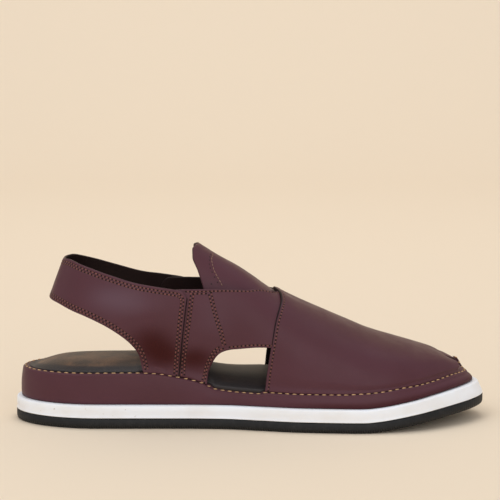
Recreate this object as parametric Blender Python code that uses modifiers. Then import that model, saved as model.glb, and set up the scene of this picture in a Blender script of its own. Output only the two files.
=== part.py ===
"""Peshawari chappal for the right foot: crossed leather upper, wrapped wedge, white midsole and black outsole.

Metres, +Z up, +X to the toe, -Y is the outer side. The origin is on the ground, under the middle of the sole.
"""

from collections import namedtuple
from math import acos, cos, pi

import bmesh
import bpy
from mathutils import Vector

MM = 0.001

# Sole
SOLE_LENGTH = 298.0 * MM
BALL_WIDTH = 105.0 * MM
OUTSOLE_THICKNESS = 6.7 * MM
MIDSOLE_THICKNESS = 8.2 * MM
WEDGE_FOREFOOT = 9.0 * MM
WEDGE_HEEL_RISE = 10.6 * MM
TOE_SPRING = 8.6 * MM
JOINT_GAP = 0.3 * MM

# Insets of the layers from the outsole's edge
OUTSOLE_CORNER = 2.6 * MM
MIDSOLE_INSET = 0.3 * MM
MIDSOLE_TOE_LEAN = 2.6 * MM
WEDGE_LEDGE = 3.0 * MM
WEDGE_TOE_LEDGE = 0.8 * MM
WEDGE_LEAN = 1.2 * MM
WEDGE_TOE_LEAN = 2.2 * MM
WEDGE_CORNER = 1.6 * MM
RIM_WIDTH = 3.4 * MM

# Insole pad
PAD_CROWN = 4.6 * MM
PAD_EDGE = 1.2 * MM
PAD_FULLNESS = 3.0
PAD_TOE_FALL = 0.8
PAD_HEEL_FALL = 34.0 * MM
PAD_TOE_CLEARANCE = 1.2 * MM

# Leather of the upper
LEATHER = 1.6 * MM
LAP_BITE = 1.0 * MM
STRAP_TRIM = 0.25 * MM

# Tongue
TONGUE_LEATHER = 1.6 * MM
TONGUE_CLEARANCE = 0.7 * MM
TONGUE_NARROWING = 0.24

# Last
INSTEP_RISE = 60.0 * MM
HEEL_CONE_SET = 41.0 * MM
TOE_RIDGE_SET = 12.0 * MM

# Mesh density
SOLE_STATIONS = 44
RIBBON_ROWS = 38
RIBBON_COLUMNS = 15
STRAP_ROWS = 40
STRAP_COLUMNS = 5
TONGUE_ROWS = 12
TONGUE_COLUMNS = 16

HEEL_ROUND = 0.185
TOE_ROUND = 0.30
PLAN_CENTRE = -0.0192
PLAN_STEP = 0.004
TOE_LEAN_START = 0.28
TOE_LEAN_END = 0.50
HEEL_CONE_REACH = 0.32
TOE_RIDGE_REACH = 0.16
LIFT_START = 0.10
LIFT_END = 0.50

SolePlan = namedtuple("SolePlan", "along centre outer inner")
# Shares of the sole length and of the ball width
SOLE_PLAN = [
    SolePlan(0.00, 0.000, 0.354, 0.345),
    SolePlan(0.20, 0.000, 0.354, 0.345),
    SolePlan(0.36, 0.000, 0.354, 0.350),
    SolePlan(0.44, 0.000, 0.364, 0.372),
    SolePlan(0.52, 0.000, 0.408, 0.425),
    SolePlan(0.60, 0.000, 0.455, 0.480),
    SolePlan(0.68, 0.000, 0.476, 0.515),
    SolePlan(0.77, 0.005, 0.492, 0.522),
    SolePlan(0.85, 0.014, 0.500, 0.515),
    SolePlan(0.90, 0.020, 0.480, 0.512),
    SolePlan(0.95, 0.026, 0.450, 0.505),
    SolePlan(1.00, 0.030, 0.385, 0.485),
]

SoleRise = namedtuple("SoleRise", "along spring heel")
# Spring of the underside as a share of TOE_SPRING, wedge height as a share of WEDGE_HEEL_RISE
SOLE_RISE = [
    SoleRise(0.00, 0.00, 0.93),
    SoleRise(0.10, 0.00, 0.94),
    SoleRise(0.26, 0.00, 0.98),
    SoleRise(0.30, 0.00, 0.94),
    SoleRise(0.345, 0.00, 0.75),
    SoleRise(0.375, 0.00, 0.58),
    SoleRise(0.40, 0.00, 0.38),
    SoleRise(0.43, 0.00, 0.17),
    SoleRise(0.47, 0.00, 0.04),
    SoleRise(0.52, 0.00, 0.00),
    SoleRise(0.735, 0.00, 0.00),
    SoleRise(0.77, 0.09, 0.00),
    SoleRise(0.81, 0.28, 0.00),
    SoleRise(0.855, 0.51, 0.00),
    SoleRise(0.90, 0.72, 0.00),
    SoleRise(0.945, 0.88, 0.00),
    SoleRise(1.00, 1.00, -0.12),
]

LastRib = namedtuple("LastRib", "along ridge side lean top")
# Ridge over the rim as a share of INSTEP_RISE; then how high the side stands, leans in, and how broad the top is
LAST_RIBS = [
    LastRib(0.00, 1.50, 0.62, 0.51, 0.26),
    LastRib(0.06, 1.50, 0.62, 0.40, 0.40),
    LastRib(0.13, 1.50, 0.62, 0.17, 0.58),
    LastRib(0.25, 1.47, 0.64, 0.00, 0.76),
    LastRib(0.33, 1.49, 0.68, 0.00, 0.80),
    LastRib(0.388, 1.395, 0.72, 0.00, 0.78),
    LastRib(0.458, 1.250, 0.74, 0.00, 0.72),
    LastRib(0.50, 1.120, 0.74, 0.00, 0.70),
    LastRib(0.547, 0.955, 0.72, 0.00, 0.68),
    LastRib(0.607, 0.795, 0.66, 0.00, 0.64),
    LastRib(0.693, 0.612, 0.58, 0.00, 0.60),
    LastRib(0.779, 0.434, 0.56, 0.00, 0.58),
    LastRib(0.885, 0.222, 0.55, 0.00, 0.58),
    LastRib(0.967, 0.098, 0.55, 0.00, 0.58),
    LastRib(1.00, 0.050, 0.55, 0.00, 0.58),
]

VampRow = namedtuple("VampRow", "at back_along back_girth front_along front_girth")
# Back and front edge of one crossing vamp piece, from its own rim over the ridge to the other side's rim
VAMP_ROWS = [
    VampRow(0.00, 0.531, 0.00, 0.978, 0.00),
    VampRow(0.05, 0.535, 0.10, 0.982, 0.20),
    VampRow(0.10, 0.540, 0.235, 0.985, 0.40),
    VampRow(0.16, 0.547, 0.45, 0.985, 0.62),
    VampRow(0.22, 0.555, 0.73, 0.975, 0.85),
    VampRow(0.27, 0.551, 0.90, 0.967, 0.98),
    VampRow(0.32, 0.541, 1.00, 0.945, 1.10),
    VampRow(0.37, 0.549, 1.08, 0.905, 1.19),
    VampRow(0.42, 0.538, 1.18, 0.850, 1.28),
    VampRow(0.47, 0.515, 1.28, 0.770, 1.41),
    VampRow(0.53, 0.483, 1.412, 0.680, 1.56),
    VampRow(0.59, 0.454, 1.477, 0.600, 1.69),
    VampRow(0.65, 0.425, 1.525, 0.531, 1.765),
    VampRow(0.71, 0.398, 1.57, 0.478, 1.820),
    VampRow(0.77, 0.372, 1.608, 0.451, 1.845),
    VampRow(0.83, 0.345, 1.634, 0.432, 1.876),
    VampRow(0.88, 0.320, 1.648, 0.418, 1.925),
    VampRow(0.94, 0.303, 1.72, 0.411, 1.965),
    VampRow(1.00, 0.300, 2.00, 0.409, 2.00),
]

StrapRow = namedtuple("StrapRow", "at low_along low_girth high_along high_girth")
# Lower and upper edge of the heel strap, from its front end on one side to the heel's middle
STRAP_TABLE = [
    StrapRow(0.00, 0.353, 0.000, 0.369, 0.335),
    StrapRow(0.05, 0.343, 0.000, 0.357, 0.366),
    StrapRow(0.12, 0.322, 0.000, 0.334, 0.364),
    StrapRow(0.22, 0.279, 0.000, 0.312, 0.368),
    StrapRow(0.27, 0.268, 0.066, 0.296, 0.376),
    StrapRow(0.34, 0.251, 0.110, 0.272, 0.391),
    StrapRow(0.42, 0.230, 0.146, 0.250, 0.408),
    StrapRow(0.54, 0.187, 0.199, 0.210, 0.442),
    StrapRow(0.68, 0.133, 0.240, 0.150, 0.486),
    StrapRow(0.84, 0.055, 0.279, 0.065, 0.530),
    StrapRow(1.00, 0.000, 0.293, 0.000, 0.522),
]

TongueEnd = namedtuple("TongueEnd", "across along")
# Free end of the tongue, from its middle to its side
TONGUE_END = [
    TongueEnd(0.00, 0.391),
    TongueEnd(0.22, 0.385),
    TongueEnd(0.40, 0.381),
    TongueEnd(0.58, 0.384),
    TongueEnd(0.75, 0.397),
    TongueEnd(1.00, 0.404),
]

TongueRow = namedtuple("TongueRow", "at half narrow")
# From the free end to the root under the vamp: half width in girth, and how far it is drawn in from the last
TONGUE_TABLE = [
    TongueRow(0.00, 0.60, 1.00),
    TongueRow(0.45, 0.60, 0.70),
    TongueRow(0.70, 0.58, 0.00),
    TongueRow(1.00, 0.56, 0.00),
]
TONGUE_ROOT = 0.620


def row_value(rows, column, at):
    """Smooth value of a column between the rows of a table."""
    keys = [row[0] for row in rows]
    values = [getattr(row, column) for row in rows]
    if at <= keys[0]:
        return values[0]
    if at >= keys[-1]:
        return values[-1]
    i = max(n for n in range(len(keys) - 1) if keys[n] <= at)
    span = keys[i + 1] - keys[i]
    slopes = []
    for n in (i, i + 1):
        if n in (0, len(keys) - 1):
            slopes.append((values[i + 1] - values[i]) / span)
            continue
        before = (values[n] - values[n - 1]) / (keys[n] - keys[n - 1])
        after = (values[n + 1] - values[n]) / (keys[n + 1] - keys[n])
        slopes.append(0.0 if before * after <= 0 else 2 * before * after / (before + after))
    t = (at - keys[i]) / span
    low = (1 + 2 * t) * (1 - t) ** 2 * values[i] + t * (1 - t) ** 2 * slopes[0] * span
    high = t * t * (3 - 2 * t) * values[i + 1] - t * t * (1 - t) * slopes[1] * span
    return low + high


def ease(value, start, end):
    """Smooth step from 0 at start to 1 at end."""
    t = min(1.0, max(0.0, (value - start) / (end - start)))
    return t * t * (3 - 2 * t)


def round_end(distance, reach):
    """Width share near a rounded end of the sole."""
    t = min(1.0, max(0.0, distance / reach))
    return (1 - (1 - t) ** 2) ** 0.5


def centre_line(along):
    """Line the sole's half widths are measured from."""
    return (row_value(SOLE_PLAN, "centre", along) + PLAN_CENTRE) * BALL_WIDTH


def edge_point(way):
    """Plan point of the outsole's edge: way is 0 at the heel, -1 to the toe by the outer side, +1 by the inner."""
    way = (way + 1) % 2 - 1
    along = (1 - cos(pi * way)) / 2
    ends = round_end(along, HEEL_ROUND) * round_end(1 - along, TOE_ROUND)
    side = "outer" if way < 0 else "inner"
    half = row_value(SOLE_PLAN, side, along) * BALL_WIDTH * ends * (-1 if way < 0 else 1)
    return Vector(((along - 0.5) * SOLE_LENGTH, centre_line(along) + half))


def inset_point(way, inset):
    """Plan point of the outsole's edge moved inwards."""
    step = PLAN_STEP
    run = edge_point(way + step) - edge_point(way - step)
    return edge_point(way) + Vector((run.y, -run.x)).normalized() * inset


def toe_share(x):
    """0 behind the ball, 1 at the toe tip."""
    return ease(x / SOLE_LENGTH, TOE_LEAN_START, TOE_LEAN_END)


def spring(x):
    """Lift of the sole's layers over the ground."""
    return row_value(SOLE_RISE, "spring", x / SOLE_LENGTH + 0.5) * TOE_SPRING


def rim_height(x):
    """Height of the wedge's top."""
    heel = row_value(SOLE_RISE, "heel", x / SOLE_LENGTH + 0.5) * WEDGE_HEEL_RISE
    return spring(x) + OUTSOLE_THICKNESS + MIDSOLE_THICKNESS + WEDGE_FOREFOOT + heel


def wedge_foot_inset(x):
    """Inset of the wedge's lower edge."""
    return MIDSOLE_INSET + WEDGE_LEDGE + (MIDSOLE_TOE_LEAN + WEDGE_TOE_LEDGE) * toe_share(x)


def wedge_inset(x):
    """Inset of the wedge's top edge."""
    return wedge_foot_inset(x) + WEDGE_LEAN + WEDGE_TOE_LEAN * toe_share(x)


def mesh_object(name, vertices, faces, collection, material):
    """Object from points and faces, with its faces turned outwards."""
    mesh = bpy.data.meshes.new(name)
    mesh.from_pydata([tuple(v) for v in vertices], [], faces)
    mesh.materials.append(material)
    work = bmesh.new()
    work.from_mesh(mesh)
    bmesh.ops.recalc_face_normals(work, faces=work.faces)
    work.to_mesh(mesh)
    work.free()
    mesh.shade_smooth()
    item = bpy.data.objects.new(name, mesh)
    collection.objects.link(item)
    return item


def layer(name, rings, collection, material, columns=2, crown=None):
    """Closed layer of the sole from rings (inset and height functions of x), bottom ring first."""
    ways = [i / SOLE_STATIONS for i in range(SOLE_STATIONS)]
    ways += [i / SOLE_STATIONS - 1 for i in range(SOLE_STATIONS)]
    count = len(ways)
    vertices, faces = [], []
    for inset, height in rings:
        for way in ways:
            rough = edge_point(way).x
            spot = inset_point(way, inset(rough))
            vertices.append(Vector((spot.x, spot.y, height(rough))))
    for r in range(len(rings) - 1):
        for i in range(count):
            a, b = r * count + i, r * count + (i + 1) % count
            faces.append((a, b, b + count, a + count))
    for base, bump in ((0, None), ((len(rings) - 1) * count, crown)):
        spans = []
        for i in range(SOLE_STATIONS + 1):
            left, right = base + i % count, base + (count - i) % count
            if i in (0, SOLE_STATIONS):
                spans.append([left] * (columns + 1))
                continue
            row = [left]
            for c in range(1, columns):
                share = c / columns
                spot = vertices[left].lerp(vertices[right], share)
                if bump:
                    spot.z += bump(spot.x, 2 * share - 1)
                vertices.append(spot)
                row.append(len(vertices) - 1)
            spans.append(row + [right])
        for lower, upper in zip(spans, spans[1:]):
            for c in range(columns):
                corners = [lower[c], lower[c + 1], upper[c + 1], upper[c]]
                corners = [v for n, v in enumerate(corners) if v not in corners[:n]]
                faces.append(corners)
    return mesh_object(name, vertices, faces, collection, material)


def rim_point(way):
    """Foot of the last's wall on the wedge."""
    rough = edge_point(way).x
    spot = inset_point(way, wedge_inset(rough) + RIM_WIDTH)
    return Vector((spot.x, spot.y, rim_height(rough) + JOINT_GAP))


def last_point(way, girth):
    """Point of the last: way as on the sole, girth 0 at the outer rim, 1 on the ridge, 2 at the inner rim."""
    side = -1 if girth <= 1 else 1
    t = girth if girth <= 1 else 2 - girth
    rim = rim_point(side * way)
    along = (1 - cos(pi * way)) / 2
    heel_reach = max(0.0, 1 - along / HEEL_CONE_REACH)
    toe_reach = max(0.0, 1 - (1 - along) / TOE_RIDGE_REACH)
    x = (rim_point(way).x + rim_point(-way).x) / 2
    x += HEEL_CONE_SET * heel_reach ** 2 - TOE_RIDGE_SET * toe_reach ** 2
    rise = row_value(LAST_RIBS, "ridge", along) * INSTEP_RISE
    roof = Vector((x, centre_line(along), rim.z + rise))
    wall = rim.lerp(Vector((roof.x, roof.y, rim.z)), row_value(LAST_RIBS, "lean", along))
    wall.z += row_value(LAST_RIBS, "side", along) * rise
    shoulder = roof.lerp(Vector((rim.x, rim.y, roof.z)), row_value(LAST_RIBS, "top", along))
    low, high = (1 - t) ** 2, t * t
    return rim * low * (1 - t) + wall * 3 * low * t + shoulder * 3 * high * (1 - t) + roof * high * t


def outward(way, girth):
    """Normal of the last."""
    step = PLAN_STEP
    near, far = max(0.0, girth - step), min(2.0, girth + step)
    across = last_point(way, far) - last_point(way, near)
    run = last_point(way + step, girth) - last_point(way - step, girth)
    return run.cross(across).normalized()


def way_of(along):
    """Way on the sole's edge for a share of its length."""
    return acos(1 - 2 * along) / pi


def sheet(name, rows, collection, material, thickness):
    """Leather sheet from rows of points, thickened outwards."""
    columns = len(rows[0])
    vertices = [point for row in rows for point in row]
    faces = []
    for r in range(len(rows) - 1):
        for c in range(columns - 1):
            a = r * columns + c
            faces.append((a, a + 1, a + columns + 1, a + columns))
    mesh = bpy.data.meshes.new(name)
    mesh.from_pydata([tuple(v) for v in vertices], [], faces)
    mesh.materials.append(material)
    mesh.shade_smooth()
    item = bpy.data.objects.new(name, mesh)
    collection.objects.link(item)
    solid = item.modifiers.new("Leather", "SOLIDIFY")
    solid.thickness = thickness
    solid.offset = 1.0
    solid.use_even_offset = True
    return item


def vamp_rows(mirrored, lift):
    """Points of one crossing vamp piece; the mirrored one starts at the inner rim."""
    rows = []
    for r in range(RIBBON_ROWS + 1):
        at = r / RIBBON_ROWS
        back = (row_value(VAMP_ROWS, "back_along", at), row_value(VAMP_ROWS, "back_girth", at))
        front = (row_value(VAMP_ROWS, "front_along", at), row_value(VAMP_ROWS, "front_girth", at))
        row = []
        for c in range(RIBBON_COLUMNS + 1):
            share = c / RIBBON_COLUMNS
            way = way_of(back[0]) * (1 - share) + way_of(front[0]) * share
            girth = back[1] * (1 - share) + front[1] * share
            girth = 2 - girth if mirrored else girth
            row.append(last_point(way, girth) + outward(way, girth) * lift(way, girth))
        rows.append(row[::-1] if mirrored else row)
    return rows


def heel_strap_rows(lift):
    """Points of the heel strap from its outer front end round the heel to the inner one."""
    rows = []
    for r in range(STRAP_ROWS + 1):
        turn = 2 * r / STRAP_ROWS - 1
        at = 1 - abs(turn)
        side = -1 if turn < 0 else 1
        row = []
        for c in range(STRAP_COLUMNS + 1):
            share = c / STRAP_COLUMNS
            way = way_of(row_value(STRAP_TABLE, "low_along", at)) * (1 - share)
            way += way_of(row_value(STRAP_TABLE, "high_along", at)) * share
            girth = row_value(STRAP_TABLE, "low_girth", at) * (1 - share)
            girth += row_value(STRAP_TABLE, "high_girth", at) * share
            girth = girth if side < 0 else 2 - girth
            spot = last_point(way, girth) + outward(way, girth) * lift(way, girth)
            spot.z += STRAP_TRIM * max(0.0, 1 - share * STRAP_COLUMNS)
            row.append(spot)
        rows.append(row)
    return rows


def tongue_rows():
    """Points of the tongue, drawn in from the last at its free end."""
    rows = []
    for r in range(TONGUE_ROWS + 1):
        at = r / TONGUE_ROWS
        half = row_value(TONGUE_TABLE, "half", at)
        drawn = row_value(TONGUE_TABLE, "narrow", at) * TONGUE_NARROWING
        row = []
        for c in range(TONGUE_COLUMNS + 1):
            across = 2 * c / TONGUE_COLUMNS - 1
            free = row_value(TONGUE_END, "along", abs(across))
            way = way_of(free + (TONGUE_ROOT - free) * at)
            girth = 1 + half * across
            spot = last_point(way, girth) - outward(way, girth) * (TONGUE_CLEARANCE + TONGUE_LEATHER)
            spot.y += (centre_line(free) - spot.y) * drawn
            row.append(spot)
        rows.append(row[::-1])
    return rows


def material(name, colour, roughness):
    """Plain surface of one colour."""
    item = bpy.data.materials.new(name)
    item.use_nodes = True
    shader = item.node_tree.nodes["Principled BSDF"]
    shader.inputs["Base Color"].default_value = (*colour, 1.0)
    shader.inputs["Roughness"].default_value = roughness
    shader.inputs["Metallic"].default_value = 0.0
    item.diffuse_color = (*colour, 1.0)
    return item


def build_sole(collection):
    """Outsole, midsole, wedge and insole pad."""
    rubber = material("Black rubber", (0.018, 0.018, 0.018), 0.6)
    white = material("White midsole", (0.78, 0.77, 0.74), 0.55)
    wrap = material("Burgundy wedge leather", (0.088, 0.040, 0.046), 0.45)
    brown = material("Brown insole leather", (0.080, 0.045, 0.035), 0.6)

    def lean(x):
        return MIDSOLE_INSET + MIDSOLE_TOE_LEAN * toe_share(x)

    def rubber_top(x):
        return spring(x) + OUTSOLE_THICKNESS

    def midsole_top(x):
        return rubber_top(x) + MIDSOLE_THICKNESS

    layer("outsole", [
        (lambda x: OUTSOLE_CORNER, spring),
        (lambda x: OUTSOLE_CORNER * 0.3, lambda x: spring(x) + OUTSOLE_CORNER * 0.3),
        (lambda x: 0.0, lambda x: spring(x) + OUTSOLE_CORNER),
        (lambda x: 0.0, lambda x: rubber_top(x) - JOINT_GAP),
    ], collection, rubber)
    layer("midsole", [
        (lambda x: MIDSOLE_INSET, rubber_top),
        (lambda x: lean(x), lambda x: midsole_top(x) - JOINT_GAP),
    ], collection, white)

    def flank(x):
        return (wedge_foot_inset(x) + 2 * wedge_inset(x)) / 3

    layer("wedge", [
        (wedge_foot_inset, midsole_top),
        (flank, lambda x: rim_height(x) - WEDGE_CORNER),
        (lambda x: wedge_inset(x) + WEDGE_CORNER * 0.4, lambda x: rim_height(x) - WEDGE_CORNER * 0.3),
        (lambda x: wedge_inset(x) + WEDGE_CORNER * 1.2, rim_height),
    ], collection, wrap)

    def edge(x):
        return wedge_inset(x) + RIM_WIDTH + JOINT_GAP + PAD_TOE_CLEARANCE * toe_share(x)

    def pad_crown(x, across):
        heel = min(1.0, (x - rim_point(0.0).x) / PAD_HEEL_FALL)
        full = (1 - (1 - heel) ** PAD_FULLNESS) * (1 - PAD_TOE_FALL * toe_share(x))
        return PAD_CROWN * full * (1 - abs(across) ** PAD_FULLNESS)

    layer("insole", [
        (edge, lambda x: rim_height(x) + JOINT_GAP),
        (edge, lambda x: rim_height(x) + JOINT_GAP + PAD_EDGE),
    ], collection, brown, 10, pad_crown)


def build_upper(collection, cutters):
    """Upper of two crossing vamp pieces and the heel strap, and the tongue under them."""
    leather = material("Burgundy leather", (0.100, 0.050, 0.058), 0.42)
    flesh = material("Burgundy tongue leather", (0.092, 0.045, 0.050), 0.45)

    def over(way, girth):
        own = ease(girth, LIFT_START, LIFT_END)
        return (LEATHER - LAP_BITE) * own

    def under(way, girth):
        return 0.0

    def strap_lift(way, girth):
        side = ease(girth, 0.9, 1.1) if girth > 0 else 0.0
        return (LEATHER - LAP_BITE) * (1 + side)

    upper = sheet("upper", vamp_rows(False, over), collection, leather, LEATHER)
    second = sheet("vamp_under", vamp_rows(True, under), cutters, leather, LEATHER)
    strap = sheet("heel_strap", heel_strap_rows(strap_lift), cutters, leather, LEATHER)
    for piece in (second, strap):
        join = upper.modifiers.new("Join " + piece.name, "BOOLEAN")
        join.operation = "UNION"
        join.solver = "EXACT"
        join.object = piece
    sheet("tongue", tongue_rows(), collection, flesh, TONGUE_LEATHER)


def main():
    """Build the shoe."""
    for item in list(bpy.data.objects):
        bpy.data.objects.remove(item, do_unlink=True)
    shoe = bpy.data.collections.new("Peshawari chappal")
    cutters = bpy.data.collections.new("Joined pieces")
    for group in (shoe, cutters):
        bpy.context.scene.collection.children.link(group)
    build_sole(shoe)
    build_upper(shoe, cutters)
    for item in cutters.objects:
        item.hide_render = True
        item.display_type = "WIRE"


main()
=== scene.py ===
"""Looks of the peshawari chappal, as an add-on with an operator for each layer or panel and for the stage."""

from functools import partial

import bmesh
import bpy
import numpy as np
from bpy.props import FloatProperty, FloatVectorProperty, PointerProperty
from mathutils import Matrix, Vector
from mathutils.bvhtree import BVHTree


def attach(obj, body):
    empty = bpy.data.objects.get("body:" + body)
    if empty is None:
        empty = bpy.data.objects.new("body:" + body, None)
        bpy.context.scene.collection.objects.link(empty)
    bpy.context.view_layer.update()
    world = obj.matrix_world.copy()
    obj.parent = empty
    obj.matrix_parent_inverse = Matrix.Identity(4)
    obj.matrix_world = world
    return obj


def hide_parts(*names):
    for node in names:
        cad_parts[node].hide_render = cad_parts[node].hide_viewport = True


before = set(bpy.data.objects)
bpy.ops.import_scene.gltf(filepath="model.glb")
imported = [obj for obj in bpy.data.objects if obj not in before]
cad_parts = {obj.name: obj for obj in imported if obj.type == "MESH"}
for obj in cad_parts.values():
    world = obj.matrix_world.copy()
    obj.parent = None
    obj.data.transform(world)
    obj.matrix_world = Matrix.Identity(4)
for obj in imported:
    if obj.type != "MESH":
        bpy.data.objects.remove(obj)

bl_info = {
    "name": "Peshawari chappal",
    "version": (1, 0, 0),
    "blender": (4, 5, 0),
    "location": "3D View > Sidebar > Chappal",
    "description": "Builds the finished looks of a peshawari chappal on its packed solids",
    "category": "Object",
}

MM = 0.001
CATEGORY = "Chappal"

# Sole plan: share of the length, centre line, outer and inner half width as shares of the ball width
PLAN_ALONG = (0.00, 0.20, 0.36, 0.44, 0.52, 0.60, 0.68, 0.77, 0.85, 0.90, 0.95, 1.00)
PLAN_CENTRE = (0.0, 0.0, 0.0, 0.0, 0.0, 0.0, 0.0, 0.005, 0.014, 0.020, 0.026, 0.030)
PLAN_OUTER = (0.354, 0.354, 0.354, 0.364, 0.408, 0.455, 0.476, 0.492, 0.500, 0.480, 0.450, 0.385)
PLAN_INNER = (0.345, 0.345, 0.350, 0.372, 0.425, 0.480, 0.515, 0.522, 0.515, 0.512, 0.505, 0.485)
PLAN_SHIFT = -0.0192
HEEL_ROUND = 0.185
TOE_ROUND = 0.30

# Toe spring of the sole as a share of its largest, and the wedge's height under the heel
SPRING_ALONG = (0.00, 0.735, 0.77, 0.81, 0.855, 0.90, 0.945, 1.00)
SPRING = (0.00, 0.00, 0.09, 0.28, 0.51, 0.72, 0.88, 1.00)
RISE_ALONG = (0.00, 0.10, 0.26, 0.30, 0.345, 0.375, 0.40, 0.43, 0.47, 0.52, 0.945, 1.00)
RISE = (0.93, 0.94, 0.98, 0.94, 0.75, 0.58, 0.38, 0.17, 0.04, 0.00, 0.00, -0.12)

# Last: ridge over the rim as a share of the instep rise; how high the side stands, how it leans
# and how broad the top is
RIB_ALONG = (0.00, 0.06, 0.13, 0.25, 0.33, 0.388, 0.458, 0.50, 0.547, 0.607, 0.693, 0.779, 0.885, 0.967, 1.00)
RIB_RIDGE = (1.50, 1.50, 1.50, 1.47, 1.49, 1.395, 1.25, 1.12, 0.955, 0.795, 0.612, 0.434, 0.222, 0.098, 0.050)
RIB_SIDE = (0.62, 0.62, 0.62, 0.64, 0.68, 0.72, 0.74, 0.74, 0.72, 0.66, 0.58, 0.56, 0.55, 0.55, 0.55)
RIB_LEAN = (0.51, 0.40, 0.17, 0.0, 0.0, 0.0, 0.0, 0.0, 0.0, 0.0, 0.0, 0.0, 0.0, 0.0, 0.0)
RIB_TOP = (0.26, 0.40, 0.58, 0.76, 0.80, 0.78, 0.72, 0.70, 0.68, 0.64, 0.60, 0.58, 0.58, 0.58, 0.58)

# Crossing vamp piece: its back and front edges, from its own rim over the ridge to the other rim
VAMP_AT = (
    0.0, 0.05, 0.10, 0.16, 0.22, 0.27, 0.32, 0.37, 0.42, 0.47,
    0.53, 0.59, 0.65, 0.71, 0.77, 0.83, 0.88, 0.94, 1.0,
)
VAMP_BACK_ALONG = (
    0.526, 0.531, 0.538, 0.546, 0.555, 0.551, 0.541, 0.549, 0.538, 0.515,
    0.483, 0.454, 0.425, 0.398, 0.372, 0.345, 0.320, 0.303, 0.300,
)
VAMP_BACK_GIRTH = (
    0.00, 0.10, 0.235, 0.45, 0.73, 0.90, 1.00, 1.08, 1.18, 1.28,
    1.412, 1.477, 1.525, 1.57, 1.608, 1.634, 1.648, 1.72, 2.00,
)
VAMP_FRONT_ALONG = (
    0.978, 0.982, 0.985, 0.985, 0.975, 0.967, 0.945, 0.905, 0.850, 0.770,
    0.680, 0.600, 0.531, 0.478, 0.451, 0.432, 0.418, 0.411, 0.409,
)
VAMP_FRONT_GIRTH = (
    0.00, 0.20, 0.40, 0.62, 0.85, 0.98, 1.10, 1.19, 1.28, 1.41,
    1.56, 1.69, 1.765, 1.820, 1.845, 1.876, 1.925, 1.965, 2.00,
)

# Heel strap from its front end to the heel's middle
STRAP_AT = (0.0, 0.05, 0.12, 0.22, 0.27, 0.34, 0.42, 0.54, 0.68, 0.84, 1.0)
STRAP_LOW_ALONG = (0.353, 0.343, 0.322, 0.279, 0.268, 0.251, 0.230, 0.187, 0.133, 0.055, 0.000)
STRAP_LOW_GIRTH = (0.000, 0.000, 0.000, 0.000, 0.066, 0.110, 0.146, 0.199, 0.240, 0.279, 0.293)
STRAP_HIGH_ALONG = (0.369, 0.357, 0.334, 0.312, 0.296, 0.272, 0.250, 0.210, 0.150, 0.065, 0.000)
STRAP_HIGH_GIRTH = (0.335, 0.366, 0.364, 0.368, 0.376, 0.391, 0.408, 0.442, 0.486, 0.530, 0.522)

# Tongue: free end from its middle to its side, then half width and how far it is drawn in
TONGUE_ACROSS = (0.00, 0.22, 0.40, 0.58, 0.75, 1.00)
TONGUE_END = (0.391, 0.385, 0.380, 0.380, 0.390, 0.404)
TONGUE_AT = (0.00, 0.45, 0.70, 1.00)
TONGUE_HALF = (0.60, 0.60, 0.58, 0.56)
TONGUE_DRAWN = (1.00, 0.70, 0.00, 0.00)
TONGUE_ROOT = 0.620

# Wedge's foot in from the sole's edge and its top in from its foot, each with what the toe adds
LEDGE, LEDGE_AT_TOE = 3.3 * MM, 3.4 * MM
WEDGE_LEAN, WEDGE_LEAN_AT_TOE = 1.2 * MM, 2.2 * MM

# Shares of the length over which the last's ridge draws back at heel and toe, and the step of its slopes
CONE_REACH, RIDGE_REACH = 0.32, 0.16
STEP = 0.004

# Cut edges: rounding of the outer and inner corner as shares of the thickness, rows of points beside an edge
# and the share of a narrow piece that they take up at most
OUTER_ROUND, INNER_ROUND = 0.42, 0.25
EDGE_ROWS = np.array([0.0, 0.12, 0.35, 0.7, 1.15, 1.8]) * MM
EDGE_SHARE = 0.30

# How dark a cut edge is (a gap's painted shadow goes darker), and the seam distance in mm that stands for no
# seam
CUT_SHADE = 0.55
NO_SEAM = 9.0

# Stations of a line on a panel, of a line along its border, and of the window that smooths that line
TRACE_STATIONS, BORDER_STATIONS, SMOOTHING = 800, 500, 17
RUN_STEP = 0.3 * MM

# Rows and columns of the leather grids
VAMP_ROWS, VAMP_COLUMNS = 300, 96
STRAP_ROWS, STRAP_COLUMNS = 437, 40
TONGUE_ROWS, TONGUE_COLUMNS = 150, 151

# Rim stitches round the heel: their pitch, and the place along the shoe where the rim's own pitch takes over
HEEL_PITCH, HEEL_STITCHES_TO = 5.0 * MM, -28 * MM

# Stitch rows of a crossing piece: the back edge's inset, then the two of the strap's back and of its front
BODY_INSET = 2.2 * MM
BACK_INSETS = (1.75 * MM, 3.4 * MM)
FRONT_INSETS = (2.0 * MM, 3.8 * MM)
ROW_SHIFT = 0.83 * MM

# Camera: focal length and sensor width in mm, place in m, and its tilt from straight down in degrees
FOCAL, SENSOR, CAMERA_AT, CAMERA_TILT = 136.5, 36.0, (0.0, -1.1903, 0.2743), 82.0

# Lamps: name, place, target, size in m and power in W; then the strength of the sky's light
LAMPS = (
    ("key", (-0.9, -1.1, 1.7), (0.0, 0.0, 0.04), 1.3, 7.5),
    ("top", (0.2, 0.4, 1.9), (0.0, 0.0, 0.05), 1.4, 2.4),
    ("front", (0.3, -1.9, 0.7), (0.0, 0.0, 0.05), 1.2, 6.0),
    ("wall", (0.0, 0.6, 2.4), (0.0, 2.6, 0.9), 1.6, 16.5),
)
SKY_STRENGTH = 0.70


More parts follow.
